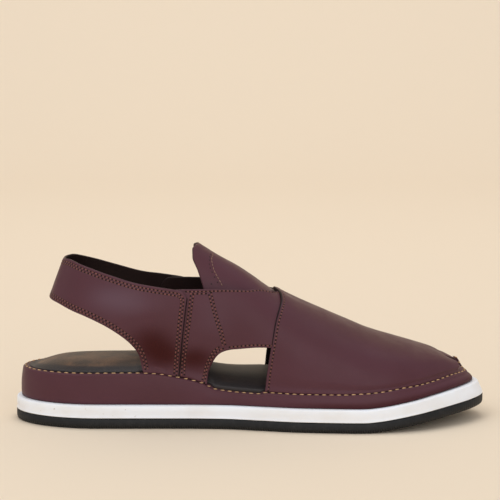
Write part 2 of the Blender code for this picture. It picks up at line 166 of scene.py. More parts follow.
def smooth_curve(keys, values, at):
    """Smooth curve through a short table, without overshoot."""
    x, y, at = np.asarray(keys, float), np.asarray(values, float), np.asarray(at, float)
    spans = np.diff(x)
    steps = np.diff(y) / spans
    slope = np.zeros(len(x))
    joined = steps[:-1] * steps[1:]
    safe = np.where(joined > 0, steps[:-1] + steps[1:], 1.0)
    slope[1:-1] = np.where(joined > 0, 2 * joined / safe, 0.0)
    slope[0], slope[-1] = steps[0], steps[-1]
    clipped = np.clip(at, x[0], x[-1])
    i = np.clip(np.searchsorted(x, clipped, side="right") - 1, 0, len(x) - 2)
    first = np.where(i == 0, steps[0], slope[i])
    t = (clipped - x[i]) / spans[i]
    low = (1 + 2 * t) * (1 - t) ** 2 * y[i] + t * (1 - t) ** 2 * first * spans[i]
    return low + t * t * (3 - 2 * t) * y[i + 1] - t * t * (1 - t) * slope[i + 1] * spans[i]


def ease(value, start, end):
    """Smooth step from 0 at start to 1 at end."""
    t = np.clip((np.asarray(value, float) - start) / (end - start), 0.0, 1.0)
    return t * t * (3 - 2 * t)


def way_of(along):
    """Way on the sole's edge for a share of its length."""
    return np.arccos(np.clip(1 - 2 * np.asarray(along, float), -1, 1)) / np.pi


def along_of(way):
    """Share of the length for a way on the sole's edge."""
    return (1 - np.cos(np.pi * way)) / 2


def unit(vectors):
    """Vectors of length one."""
    return vectors / np.maximum(np.linalg.norm(vectors, axis=-1, keepdims=True), 1e-12)


class Last:
    """The shoe's form: sole edge, rim and the last's surface, from the named sizes."""

    def __init__(self, sizes):
        self.sizes = sizes

    def centre(self, along):
        """Line the half widths are measured from."""
        return (smooth_curve(PLAN_ALONG, PLAN_CENTRE, along) + PLAN_SHIFT) * self.sizes.ball_width

    def edge(self, way):
        """Outsole's edge: 0 at the heel, -1 to the toe by the outer side, +1 by the inner."""
        way = (np.asarray(way, float) + 1) % 2 - 1
        along = along_of(way)
        heel = np.sqrt(1 - (1 - np.clip(along / HEEL_ROUND, 0, 1)) ** 2)
        toe = np.sqrt(1 - (1 - np.clip((1 - along) / TOE_ROUND, 0, 1)) ** 2)
        outer = smooth_curve(PLAN_ALONG, PLAN_OUTER, along)
        inner = smooth_curve(PLAN_ALONG, PLAN_INNER, along)
        half = np.where(way < 0, -outer, inner) * heel * toe * self.sizes.ball_width
        return np.stack([(along - 0.5) * self.sizes.sole_length, self.centre(along) + half], -1)

    def inset(self, way, amount):
        """Outsole's edge moved inwards."""
        way = np.asarray(way, float)
        run = unit(self.edge(way + STEP) - self.edge(way - STEP))
        amount = np.broadcast_to(amount, way.shape)[..., None]
        return self.edge(way) + np.stack([run[..., 1], -run[..., 0]], -1) * amount

    def toe_share(self, x):
        """0 behind the ball, 1 at the toe tip."""
        return ease(x / self.sizes.sole_length, 0.28, 0.5)

    def spring(self, x):
        """Lift of the layers over the ground."""
        return smooth_curve(SPRING_ALONG, SPRING, x / self.sizes.sole_length + 0.5) * self.sizes.toe_spring

    def rim_height(self, x):
        """Height of the wedge's top."""
        s = self.sizes
        heel = smooth_curve(RISE_ALONG, RISE, x / s.sole_length + 0.5) * s.heel_rise
        return self.spring(x) + s.outsole_thickness + s.midsole_thickness + s.wedge_forefoot + heel

    def wedge_foot(self, x):
        """Inset of the wedge's lower edge."""
        return LEDGE + LEDGE_AT_TOE * self.toe_share(x)

    def wedge_inset(self, x):
        """Inset of the wedge's top edge."""
        return self.wedge_foot(x) + WEDGE_LEAN + WEDGE_LEAN_AT_TOE * self.toe_share(x)

    def rim(self, way):
        """Foot of the last's wall."""
        rough = self.edge(way)[..., 0]
        spot = self.inset(way, self.wedge_inset(rough) + self.sizes.rim_width)
        return np.concatenate([spot, (self.rim_height(rough) + self.sizes.joint_gap)[..., None]], -1)

    def surface(self, way, girth):
        """Point of the last: girth 0 at the outer rim, 1 on the ridge, 2 at the inner rim."""
        s = self.sizes
        way, girth = np.broadcast_arrays(np.asarray(way, float), np.asarray(girth, float))
        side = np.where(girth <= 1, -1.0, 1.0)
        t = np.clip(np.where(girth <= 1, girth, 2 - girth), 0, 1)[..., None]
        rim = self.rim(side * way)
        along = along_of(way)
        heel = np.maximum(0.0, 1 - along / CONE_REACH)
        toe = np.maximum(0.0, 1 - (1 - along) / RIDGE_REACH)
        x = (self.rim(way)[..., 0] + self.rim(-way)[..., 0]) / 2
        x = x + s.heel_cone_set * heel ** 2 - s.toe_ridge_set * toe ** 2
        rise = smooth_curve(RIB_ALONG, RIB_RIDGE, along) * s.instep_rise
        roof = np.stack([x, self.centre(along), rim[..., 2] + rise], -1)
        lean = smooth_curve(RIB_ALONG, RIB_LEAN, along)[..., None]
        level = np.stack([roof[..., 0], roof[..., 1], rim[..., 2]], -1)
        wall = rim + (level - rim) * lean
        wall[..., 2] += smooth_curve(RIB_ALONG, RIB_SIDE, along) * rise
        over = np.stack([rim[..., 0], rim[..., 1], roof[..., 2]], -1)
        shoulder = roof + (over - roof) * smooth_curve(RIB_ALONG, RIB_TOP, along)[..., None]
        low, high = (1 - t) ** 2, t * t
        return rim * low * (1 - t) + wall * 3 * low * t + shoulder * 3 * high * (1 - t) + roof * high * t

    def normal(self, way, girth):
        """Outward direction of the last's surface."""
        near, far = np.maximum(0.0, girth - STEP), np.minimum(2.0, girth + STEP)
        across = self.surface(way, far) - self.surface(way, near)
        run = self.surface(way + STEP, girth) - self.surface(way - STEP, girth)
        return unit(np.cross(run, across))

    def shell(self, way, girth, lift):
        """Point at a distance outside the last."""
        lift = np.broadcast_to(lift, np.shape(way))[..., None]
        return self.surface(way, girth) + self.normal(way, girth) * lift


def grid_faces(rows, columns, offset=0, flip=False):
    """Quads of a grid of points."""
    r, c = np.meshgrid(np.arange(rows - 1), np.arange(columns - 1), indexing="ij")
    a = (r * columns + c).ravel() + offset
    quads = np.stack([a, a + 1, a + columns + 1, a + columns], -1)
    return quads[:, ::-1] if flip else quads


def border_loop(rows, columns):
    """Indices round the edge of a grid of points."""
    index = np.arange(rows * columns).reshape(rows, columns)
    return np.concatenate([index[0, :-1], index[:-1, -1], index[-1, :0:-1], index[:0:-1, 0]])


def mesh_piece(name, vertices, faces, material, slot, stands_for=()):
    """Shown piece that rides on the CAD body, its faces turned outwards."""
    mesh = bpy.data.meshes.new(name)
    mesh.from_pydata(np.asarray(vertices, float).tolist(), [], [list(map(int, f)) for f in faces])
    work = bmesh.new()
    work.from_mesh(mesh)
    bmesh.ops.recalc_face_normals(work, faces=work.faces)
    work.to_mesh(mesh)
    work.free()
    mesh.materials.append(material)
    mesh.shade_smooth()
    item = bpy.data.objects.new(name, mesh)
    bpy.context.scene.collection.objects.link(item)
    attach(item, "root")
    if stands_for:
        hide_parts(*stands_for)
    return item


def add_values(item, name, values):
    """Store a number for each point, for its material to read."""
    layer = item.data.attributes.new(name, "FLOAT", "POINT")
    layer.data.foreach_set("value", np.asarray(values, np.float32).ravel())


def spread(count, lengths):
    """Shares across a piece, close together at both edges; one row of shares for each length."""
    middle = np.linspace(0, 1, count + 2)[1:-1]
    lengths = np.maximum(np.asarray(lengths, float)[:, None], 1e-6)
    edge = np.minimum(EDGE_ROWS / lengths, EDGE_SHARE * EDGE_ROWS / EDGE_ROWS[-1])
    start = edge[:, -1:]
    inner = start + (1 - 2 * start) * middle[None, :]
    return np.concatenate([edge, inner, 1 - edge[:, ::-1]], 1)


def far_from(points, line):
    """Distance of each point from a line of points."""
    flat = points.reshape(-1, 3)
    start, step = line[:-1], np.diff(line, axis=0)
    size = np.maximum((step ** 2).sum(-1), 1e-12)
    nearest = np.full(len(flat), np.inf)
    for a, d, s in zip(start, step, size):
        t = np.clip(((flat - a) @ d) / s, 0, 1)
        nearest = np.minimum(nearest, np.linalg.norm(flat - a - t[:, None] * d, axis=-1))
    return nearest.reshape(points.shape[:-1])


class Panel:
    """One leather piece: a grid of points with outward directions, a thickness, and relief on its face."""

    def __init__(self, base, out, thickness):
        self.base, self.out, self.thickness = base, out, thickness
        shape = base.shape[:2]
        self.faces = grid_faces(*shape)
        # tone holds painted shade (below 0) and painted highlight (above 0); gap holds painted shadow beside
        # a lifted edge
        self.relief, self.tone, self.gap, self.turned = np.zeros((4, *shape))
        self.seam = np.full(shape, NO_SEAM)
        across = np.linalg.norm(np.diff(base, axis=1), axis=-1)
        self.from_low = np.pad(np.cumsum(across, 1), ((0, 0), (1, 0)))
        self.from_high = self.from_low[:, -1:] - self.from_low
        down = np.linalg.norm(np.diff(base, axis=0), axis=-1)
        self.from_start = np.pad(np.cumsum(down, 0), ((1, 0), (0, 0)))
        self.from_end = self.from_start[-1:] - self.from_start

    def edge_distance(self):
        """Distance of each point from the piece's nearest cut edge."""
        return np.minimum.reduce([self.from_low, self.from_high, self.from_start, self.from_end])

    def face(self, share=1.0, rounding=OUTER_ROUND):
        """Outer face at share 1, inner face at share 0, both rounded at the cut edges."""
        radius = rounding * self.thickness
        distance = np.clip(self.edge_distance() / radius, 0, 1)
        drop = radius * (1 - np.sqrt(1 - (1 - distance) ** 2))
        height = self.thickness * share + self.relief + drop * (1 - 2 * share)
        return self.base + self.out * height[..., None]

    def raise_by(self, place, height, reach, stretch=(1.0, 1.0, 1.0)):
        """Soft hollow or swelling round a place."""
        away = np.linalg.norm((self.base - np.asarray(place) * MM) * stretch, axis=-1)
        self.relief += height * MM * np.exp(-(away / (reach * MM)) ** 2)

    def shade(self, place, amount, reach, stretch=(1.0, 1.0, 1.0)):
        """Paint shade (below 0) or a highlight (above 0) into the leather's colour, softly round a place."""
        away = np.linalg.norm((self.base - np.asarray(place) * MM) * stretch, axis=-1)
        self.tone += amount * np.exp(-(away / (reach * MM)) ** 2)

    def laid(self, points):
        """Points moved onto the outer face, with its outward directions there."""
        tree = BVHTree.FromPolygons(self.face().reshape(-1, 3).tolist(), self.faces.tolist())
        found = [tree.find_nearest(Vector(p)) for p in points]
        out = self.out.reshape(-1, 3)[self.faces[[hit[2] for hit in found]]]
        return np.array([hit[0] for hit in found]), unit(out.mean(1))

    def along_edge(self, path, inset):
        """Seam line that keeps its distance inwards from a path of border points, round its corners."""
        length = run_length(path)
        points, out = self.laid(at_length(path, length, np.linspace(0, length[-1], BORDER_STATIONS)))
        kernel = np.hanning(SMOOTHING)
        padded = np.pad(points, ((SMOOTHING // 2, SMOOTHING // 2), (0, 0)), "edge")
        smooth = np.stack([np.convolve(padded[:, k], kernel / kernel.sum(), "valid") for k in range(3)], -1)
        run = unit(np.gradient(smooth, axis=0))
        return self.laid(smooth + unit(np.cross(out, run)) * inset)

    def crease(self, places, depth, width):
        """Soft trough with a ridge beside it along a line of places in millimetres."""
        line = np.asarray(places, float) * MM
        near = self.base.reshape(-1, 3)
        reach = (((near - line.mean(0)) ** 2).sum(-1) < (60 * MM) ** 2).reshape(self.relief.shape)
        away = np.full(self.relief.shape, 1.0)
        away[reach] = far_from(self.base[reach], line)
        run = np.linspace(0, 1, len(line))
        nearest = np.array([np.linalg.norm(self.base - p, axis=-1) for p in line])
        fade = np.sin(np.pi * np.clip(run[nearest.argmin(0)], 0.08, 0.92))
        trough = np.exp(-(away / (width * MM)) ** 2)
        ridge = np.exp(-((away / (width * MM) - 1.8) / 0.9) ** 2)
        self.relief += depth * MM * fade * (0.45 * ridge - trough)

    def sewn(self, line):
        """Keep the distance from a seam, for the material's trough."""
        self.seam = np.minimum(self.seam, far_from(self.base + self.out * self.thickness, line[::4]) / MM)

    def add(self, name, slot):
        """Build the closed leather piece."""
        material = leather_look()
        rows, columns = self.base.shape[:2]
        count = rows * columns
        loop = border_loop(rows, columns)
        after = np.roll(loop, -1)
        faces = np.concatenate([
            self.faces, grid_faces(rows, columns, count, True),
            np.stack([loop, loop + count, after + count, after], -1),
        ])
        points = np.concatenate([self.face().reshape(-1, 3), self.face(0.0, INNER_ROUND).reshape(-1, 3)])
        item = mesh_piece(name, points, faces, material, slot, [slot])
        # cut: the leather's dark cut edges, with the painted shadow of a gap laid over them; tone: painted
        # shade and highlight
        cut = np.maximum(CUT_SHADE * (1 - ease(self.edge_distance(), 0.05 * MM, 0.34 * MM)), self.gap)
        add_values(item, "cut", [cut, cut])
        add_values(item, "inside", [np.zeros((rows, columns)), 1 - self.turned])
        add_values(item, "seam", [self.seam, np.full((rows, columns), NO_SEAM)])
        add_values(item, "tone", [self.tone, np.zeros((rows, columns))])

    def line(self, edge, inset):
        """Points and outward directions of a line that keeps its distance from the low or the high edge."""
        distance, turn = (self.from_low, 1) if edge == "low" else (self.from_high, -1)
        rows, columns = self.base.shape[:2]
        column = [np.interp(inset, d[::turn], np.arange(columns)[::turn]) for d in distance]
        return self.trace(np.arange(rows, dtype=float), np.array(column))

    def trace(self, row, column):
        """Evenly spaced points on the outer face along a path through the grid."""
        surface = self.face()
        length = run_length(grid_value(surface, row, column))
        want = np.linspace(0, length[-1], TRACE_STATIONS)
        row, column = np.interp(want, length, row), np.interp(want, length, column)
        return grid_value(surface, row, column), unit(grid_value(self.out, row, column))


def run_length(points):
    """Length run along a line at each of its points."""
    return np.concatenate([[0], np.cumsum(np.linalg.norm(np.diff(points, axis=0), axis=1))])


def at_length(values, length, want):
    """Values along a line at lengths run from its start."""
    return np.stack([np.interp(want, length, column) for column in values.T], -1)


def grid_value(grid, row, column):
    """Value of a grid between its points."""
    r = np.clip(np.floor(row).astype(int), 0, grid.shape[0] - 2)
    c = np.clip(np.floor(column).astype(int), 0, grid.shape[1] - 2)
    u, v = (row - r)[:, None], (column - c)[:, None]
    top = grid[r, c] * (1 - v) + grid[r, c + 1] * v
    bottom = grid[r + 1, c] * (1 - v) + grid[r + 1, c + 1] * v
    return top * (1 - u) + bottom * u


def spaced(points, normals, pitch, shift=0.0, beside=None):
    """Points with directions, a pitch apart along a line, or in step with the line beside it."""
    length = run_length(points if beside is None else beside)
    count = max(2, int(round(length[-1] / pitch)))
    want = (np.arange(count) + 0.5 + shift) * length[-1] / count
    want = want[want < length[-1]]
    ahead, behind = (at_length(points, length, want + side * RUN_STEP) for side in (1, -1))
    return at_length(points, length, want), unit(at_length(normals, length, want)), unit(ahead - behind)


def capsule(length, width, height, around=8, rings=5):
    """Small stitch lying along X, its underside at Z 0."""
    angle = np.linspace(0, 2 * np.pi, around, endpoint=False)
    stations = np.linspace(-1, 1, rings)
    fullness = np.sqrt(1 - (0.97 * stations) ** 2) ** 0.7
    points = [
        (s * length / 2, np.cos(a) * f * width / 2, np.sin(a) * f * height / 2)
        for s, f in zip(stations, fullness) for a in angle
    ]
    faces = []
    for r in range(rings - 1):
        for k in range(around):
            a, b = r * around + k, r * around + (k + 1) % around
            faces.append((a, b, b + around, a + around))
    faces.append(tuple(range(around))[::-1])
    faces.append(tuple(range((rings - 1) * around, rings * around)))
    return np.array(points), faces


def scatter(shape, places):
    """Copies of a small shape at places: lists of (points, outward, running direction)."""
    points, faces = shape
    vertices, quads = [], []
    for where, out, run in places:
        side = unit(np.cross(out, run))
        forward = np.cross(side, out)
        for w, n, s, f in zip(where, out, side, forward):
            base = len(vertices) * len(points)
            vertices.append(w + points[:, :1] * f + points[:, 1:2] * s + points[:, 2:] * n)
            quads += [tuple(base + i for i in face) for face in faces]
    return np.concatenate(vertices), quads


def srgb(code):
    """Linear colour of an sRGB hex code."""
    values = [int(code[i:i + 2], 16) / 255 for i in (1, 3, 5)]
    return tuple(v / 12.92 if v <= 0.04045 else ((v + 0.055) / 1.055) ** 2.4 for v in values) + (1.0,)


def fill(node, inputs):
    """Set a node's inputs, each to a value or to the socket that it is linked from."""
    for key, value in inputs.items():
        if isinstance(value, bpy.types.NodeSocket):
            node.id_data.links.new(value, node.inputs[key])
        else:
            node.inputs[key].default_value = value


def add_node(tree, kind, inputs, settings=None, output=0):
    """Add a shader node with its settings and inputs, and give one of its outputs."""
    node = tree.nodes.new("ShaderNode" + kind)
    for key, value in (settings or {}).items():
        setattr(node, key, value)
    fill(node, inputs)
    return node.outputs[output]


def new_material(name, values):
    """Material with its shader's even values set; gives it, its shader and the adding of its nodes."""
    item = bpy.data.materials.new(name)
    item.use_nodes = True
    shader = item.node_tree.nodes["Principled BSDF"]
    fill(shader, values)
    return item, shader, partial(add_node, item.node_tree)


# Mix takes a factor at 0 and colours at 6 and 7 and gives a colour at 2; Map Range takes a value at 0,
# its range at 1 and 2 and the new range at 3 and 4
COLOUR = {"data_type": "RGBA"}
SMOOTH = {"interpolation_type": "SMOOTHSTEP"}


def leather_material(name, colour, dark, lining):
    """Corrected-grain cow leather: a satin finish on a fine pebble, cloudy in tone, its cut edges dark."""
    item, shader, add = new_material(name, {
        "IOR": 1.48, "Specular IOR Level": 0.15, "Coat Weight": 0.02, "Coat Roughness": 0.30,
    })
    place = add("TexCoord", {}, output="Object")
    tone, cut, inside, seam = (
        add("Attribute", {}, {"attribute_name": key}, "Fac") for key in ("tone", "cut", "inside", "seam"))
    cloudy = add("TexNoise", {"Vector": place, "Scale": 1 / (45 * MM)})
    cloudy = add("MapRange", {0: cloudy, 1: 0.3, 2: 0.7}, SMOOTH)
    face = add("Mix", {0: cloudy, 6: tuple(dark), 7: tuple(colour)}, COLOUR, 2)
    # Painted shade: tone below 0 darkens the leather towards a deep red-brown.
    deep = add("MapRange", {0: tone, 1: -1.0, 2: 0.0, 3: 1.0, 4: 0.0}, SMOOTH)
    face = add("Mix", {0: deep, 6: face, 7: srgb("#380a0a")}, COLOUR, 2)
    # Painted highlight: tone above 0 lightens the leather towards a pale bluish sheen.
    light = add("MapRange", {0: tone}, SMOOTH)
    face = add("Mix", {0: light, 6: face, 7: srgb("#6e5966")}, COLOUR, 2)
    # Dark cut edges; the cut attribute also carries the painted shadow of gaps beside lifted edges.
    face = add("Mix", {0: add("MapRange", {0: cut}, SMOOTH), 6: face, 7: srgb("#1c0f10")}, COLOUR, 2)
    inner = add("MapRange", {0: inside, 1: 0.45, 2: 0.65}, SMOOTH)
    rubbed = add("TexNoise", {"Vector": place, "Scale": 1 / (9 * MM), "Detail": 4.0})
    pebble = {"Vector": place, "Scale": 1 / (0.55 * MM), "Smoothness": 0.6}
    pebble = add("TexVoronoi", pebble, {"feature": "SMOOTH_F1"})
    uneven = add("TexNoise", {"Vector": place, "Scale": 1 / (2.4 * MM), "Detail": 3.0})
    trough = add("Bump", {"Height": add("MapRange", {0: seam, 2: 1.1}, SMOOTH), "Distance": 0.16 * MM})
    grain = add("Bump", {"Height": pebble, "Distance": 0.03 * MM, "Normal": trough})
    fill(shader, {
        "Base Color": add("Mix", {0: inner, 6: face, 7: tuple(lining)}, COLOUR, 2),
        "Roughness": add("MapRange", {0: rubbed, 1: 0.3, 2: 0.7, 3: 0.38, 4: 0.47}, SMOOTH),
        "Normal": add("Bump", {"Height": uneven, "Distance": 0.04 * MM, "Normal": grain}),
    })
    return item


def rubber_material(name, colour):
    """Moulded black rubber: dull and finely dusted, with cross ribs underneath that notch its lower edge."""
    item, shader, add = new_material(name, {"Roughness": 0.58, "IOR": 1.52, "Specular IOR Level": 0.35})
    place = add("TexCoord", {}, output="Object")
    tread = add("Attribute", {}, {"attribute_name": "tread"}, "Fac")
    dust = add("TexNoise", {"Vector": place, "Scale": 1 / (4 * MM), "Detail": 5.0, "Roughness": 0.6})
    dust = add("MapRange", {0: dust, 1: 0.45, 2: 0.75, 4: 0.35}, SMOOTH)
    bands = {"wave_type": "BANDS", "bands_direction": "X"}
    ribs = add("TexWave", {"Vector": place, "Scale": 2 * np.pi / (20 * RIB_PITCH)}, bands, "Fac")
    groove = add("Math", {0: ribs, 1: tread}, {"operation": "MULTIPLY"})
    face = add("Mix", {0: dust, 6: tuple(colour), 7: srgb("#2b2a29")}, COLOUR, 2)
    low = add("MapRange", {0: tread, 4: 0.5}, SMOOTH)
    face = add("Mix", {0: low, 6: face, 7: srgb("#343332")}, COLOUR, 2)
    # Painted shade: the rib grooves are darkened to near black, besides being cut in by the bump.
    hollow = add("MapRange", {0: groove, 1: 0.4, 2: 0.8}, SMOOTH)
    skin = add("TexNoise", {"Vector": place, "Scale": 1 / (0.7 * MM), "Detail": 3.0})
    skin = add("Bump", {"Height": skin, "Distance": 0.04 * MM})
    fill(shader, {
        "Base Color": add("Mix", {0: hollow, 6: face, 7: srgb("#050505")}, COLOUR, 2),
        "Normal": add("Bump", {"Height": groove, "Distance": -0.6 * MM, "Normal": skin}),
    })
    return item


def foam_material(name, colour):
    """White foamed midsole: a soft satin skin that lets a little light in, with dirt specks by the heel."""
    item, shader, add = new_material(name, {
        "Roughness": 0.55, "IOR": 1.46, "Subsurface Weight": 0.06,
        "Subsurface Radius": (2 * MM, 1.8 * MM, 1.6 * MM),
    })
    place = add("TexCoord", {}, output="Object")
    shade = add("TexNoise", {"Vector": place, "Scale": 1 / (22 * MM), "Detail": 3.0})
    shade = add("MapRange", {0: shade, 1: 0.35, 2: 0.7}, SMOOTH)
    face = add("Mix", {0: shade, 6: tuple(colour), 7: srgb("#f0f0f0")}, COLOUR, 2)
    speck = add("TexNoise", {"Vector": place, "Scale": 1 / (2.2 * MM), "Roughness": 0.4})
    speck = add("MapRange", {0: speck, 1: 0.70, 2: 0.76, 4: 0.45}, SMOOTH)
    along = add("SeparateXYZ", {"Vector": place})
    heelward = add("MapRange", {0: along, 1: -80 * MM, 2: -60 * MM, 3: 1.0, 4: 0.0}, SMOOTH)
    speck = add("Math", {0: speck, 1: heelward}, {"operation": "MULTIPLY"})
    skin = add("TexNoise", {"Vector": place, "Scale": 1 / MM, "Detail": 3.0})
    fill(shader, {
        "Base Color": add("Mix", {0: speck, 6: face, 7: srgb("#a8977c")}, COLOUR, 2),
        "Normal": add("Bump", {"Height": skin, "Distance": 0.03 * MM}),
    })
    return item


def insole_material(name, colour, dark):
    """Brown sock leather: a printed pebble grain, cloudy in tone, dark along its edge, with painted shade
    where the upper covers it.
    """
    item, shader, add = new_material(name, {"Roughness": 0.55, "IOR": 1.48, "Sheen Weight": 0.05})
    place = add("TexCoord", {}, output="Object")
    flank = add("Attribute", {}, {"attribute_name": "flank"}, "Fac")
    cloudy = add("TexNoise", {"Vector": place, "Scale": 1 / (12 * MM), "Detail": 4.0})
    cloudy = add("MapRange", {0: cloudy, 1: 0.35, 2: 0.7}, SMOOTH)
    face = add("Mix", {0: cloudy, 6: srgb(dark), 7: tuple(colour)}, COLOUR, 2)
    pebble = add("TexVoronoi", {"Vector": place, "Scale": 1 / (1.1 * MM)})
    hollow = add("MapRange", {0: pebble, 1: 0.2, 2: 0.8, 4: 0.25}, SMOOTH)
    face = add("Mix", {0: hollow, 6: face, 7: srgb("#1c1413")}, COLOUR, 2)
    fill(shader, {
        # flank darkens a band along the edge and paints shade over the forefoot under the upper
        "Base Color": add("Mix", {0: flank, 6: face, 7: srgb("#1f1717")}, COLOUR, 2),
        "Normal": add("Bump", {"Height": pebble, "Distance": 0.09 * MM}),
    })
    return item


def thread_material(name, colour):
    """Waxed polyester thread: its twist gives darker flecks along a stitch."""
    item, shader, add = new_material(name, {"Roughness": 0.5, "IOR": 1.5})
    place = add("TexCoord", {}, output="Object")
    fleck = add("TexNoise", {"Vector": place, "Scale": 1 / (1.6 * MM)})
    fleck = add("MapRange", {0: fleck, 1: 0.3, 2: 0.7}, SMOOTH)
    darker = tuple(0.6 * value for value in colour[:3]) + (1.0,)
    fill(shader, {"Base Color": add("Mix", {0: fleck, 6: darker, 7: tuple(colour)}, COLOUR, 2)})
    return item


def plain_material(name, colour, roughness):
    """Even surface of one colour."""
    return new_material(name, {"Base Color": tuple(colour), "Roughness": roughness})[0]


def colour_property(name, description, code):
    """Colour setting with its default."""
    return FloatVectorProperty(
        name=name, description=description, subtype="COLOR", size=4, min=0.0, max=1.0, default=srgb(code),
    )


def length_property(name, description, millimetres):
    """Length setting with its default."""
    return FloatProperty(name=name, description=description, unit="LENGTH", min=0.0, default=millimetres * MM)


class ChappalSizes(bpy.types.PropertyGroup):
    """Sizes of the shoe's form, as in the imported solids, and of its panels."""

    ball_width: length_property("Ball width", "Width of the outsole over the ball", 105.0)
    sole_length: length_property("Sole length", "Length of the outsole", 298.0)
    toe_spring: length_property("Toe spring", "Lift of the toe tip", 8.6)
    heel_rise: length_property("Heel rise", "Extra height of the wedge under the heel", 10.6)
    outsole_thickness: length_property("Outsole thickness", "Thickness of the black outsole", 6.7)
    midsole_thickness: length_property("Midsole thickness", "Thickness of the white layer", 8.2)
    wedge_forefoot: length_property(
        "Wedge thickness", "Thickness of the covered layer under the forefoot", 9.0)
    rim_width: length_property("Rim width", "From the wedge's top edge to the upper's foot", 3.4)
    joint_gap: length_property("Joint gap", "Clearance between pieces", 0.3)
    heel_cone_set: length_property("Heel cone", "How far the top of the last stands before the heel", 41.0)
    toe_ridge_set: length_property("Toe ridge", "How far the ridge ends behind the toe tip", 12.0)
    instep_rise: length_property("Instep rise", "Height that the ridge shares are taken of", 60.0)
    leather: length_property("Leather", "Thickness of the upper's leather", 1.6)
    seam_pitch: length_property("Seam pitch", "Length of one stitch of the seams", 2.45)
    rim_pitch: length_property("Rim pitch", "Length of one stitch round the rim", 4.6)


class ChappalColours(bpy.types.PropertyGroup):
    """Colours of the leather, the sole layers and the threads."""

    leather: colour_property("Leather", "Lit colour of the upper", "#56343c")
    leather_dark: colour_property("Leather, dark", "Mottled tone of the upper", "#523137")
    lining: colour_property("Lining", "Flesh side of the leather", "#241817")
    insole: colour_property("Insole", "Sock leather", "#694c35")
    white: colour_property("White layer", "Foamed midsole", "#f5f8fc")
    black: colour_property("Black layer", "Rubber outsole", "#0e0e0f")
    rim_thread: colour_property("Rim thread", "Thread round the rim", "#d6aa78")
    seam_thread: colour_property("Seam thread", "Thread of the seams", "#7e483a")
    hole: colour_property("Needle hole", "Shade in the needle holes", "#1e0805")
    backdrop: colour_property("Backdrop", "Floor and backdrop", "#f0dfc6")


def sole_ring(last, way, inset, height):
    """Points round the sole at an inset and a height, each a function of x."""
    rough = last.edge(way)[..., 0]
    return np.concatenate([last.inset(way, inset(rough)), height(rough)[..., None]], -1)


def sole_piece(last, name, rings, material, slot, crown=None, stations=360, columns=24):
    """Closed layer of the sole from rings, bottom ring first; crown raises its top."""
    way = np.concatenate([np.arange(stations), np.arange(stations) - stations]) / stations
    count = len(way)
    vertices = np.concatenate([sole_ring(last, way, *ring) for ring in rings])
    turn = np.arange(count)
    after = np.roll(turn, -1)
    faces = []
    for base in range(0, (len(rings) - 1) * count, count):
        faces += (np.stack([turn, after, after + count, turn + count], -1) + base).tolist()
    share = np.linspace(0, 1, columns + 1)[1:-1]
    for base, bump in ((0, None), ((len(rings) - 1) * count, crown)):
        left = base + np.arange(1, stations)
        right = base + count - np.arange(1, stations)
        middle = vertices[left][:, None] * (1 - share[None, :, None])
        middle = middle + vertices[right][:, None] * share[None, :, None]
        if bump:
            middle[..., 2] += bump(middle[..., 0], 2 * share[None, :] - 1)
        index = len(vertices) + np.arange(middle.shape[0] * middle.shape[1]).reshape(middle.shape[:2])
        vertices = np.concatenate([vertices, middle.reshape(-1, 3)])
        grid = np.concatenate([left[:, None], index, right[:, None]], 1)
        quads = np.stack([grid[:-1, :-1], grid[:-1, 1:], grid[1:, 1:], grid[1:, :-1]], -1)
        faces += quads.reshape(-1, 4).tolist()
        for tip, row in ((base, grid[0]), (base + stations, grid[-1])):
            faces += [[tip, row[c], row[c + 1]] for c in range(columns)]
    return mesh_piece(name, vertices, faces, material, slot, [slot])


# Where the insole stays inside the upper's foot: 1 under leather, 0 where the rim is open
COVER_ALONG = (0.0, 0.262, 0.277, 0.411, 0.424, 0.515, 0.529, 1.0)
COVER = (0.0, 0.0, 1.0, 1.0, 0.0, 0.0, 1.0, 1.0)

# Seams of the front quarter: slanted, from the top edge to the window's rear corner; and upright,
# by the heel strap
SLANT_ALONG = (0.413, 0.418, 0.424, 0.430, 0.437, 0.442, 0.445)
SLANT_GIRTH = (0.440, 0.391, 0.331, 0.283, 0.238, 0.193, 0.170)
UPRIGHT_ALONG = (0.379, 0.377, 0.375, 0.373, 0.370, 0.367, 0.364, 0.361, 0.360)
UPRIGHT_GIRTH = (0.382, 0.336, 0.293, 0.248, 0.198, 0.150, 0.105, 0.055, 0.004)

# How far the wedge's rim is rounded down under the stitches
DROP_ALONG = (0.0, 0.398, 0.425, 0.512, 0.533, 0.600, 0.690, 0.740, 0.815, 0.860, 0.900, 1.0)
DROP = (0.0, 0.0, 1.6, 1.6, 0.6, 0.9, 0.8, 0.1, 0.2, 1.3, 1.9, 1.6)

# Tongue's line of thread, and the needle holes beside it: share from the free end, share across
TONGUE_THREAD_AT = (0.134, 0.152, 0.161, 0.168, 0.180, 0.190, 0.200, 0.209)
TONGUE_THREAD_ACROSS = (-0.08, -0.227, -0.440, -0.520, -0.613, -0.690, -0.747, -0.800)
TONGUE_HOLES_AT = (0.134, 0.140, 0.141, 0.140, 0.147, 0.153, 0.158, 0.172, 0.101)
TONGUE_HOLES_ACROSS = (-0.240, -0.347, -0.440, -0.533, -0.600, -0.655, -0.715, -0.773, -0.840)

STITCH_INSET = 1.45 * MM
RIB_PITCH = 1.5 * MM
JOIN_AT = -10.6 * MM
FOLD_AT = (134 * MM, 17 * MM)
FOLD_REACH = (5 * MM, 6 * MM)
FOLD_HEIGHT = 6.2 * MM
HOLE_SIZE = 1.3 * MM


def sizes():
    """The shoe's sizes."""
    return bpy.context.scene.chappal_sizes


def colours():
    """The shoe's colours."""
    return bpy.context.scene.chappal_colours


def leather_look():
    """Burgundy leather of the upper, tongue and wedge."""
    c = colours()
    return bpy.data.materials.get("Burgundy leather") or leather_material(
        "Burgundy leather", c.leather, c.leather_dark, c.lining)


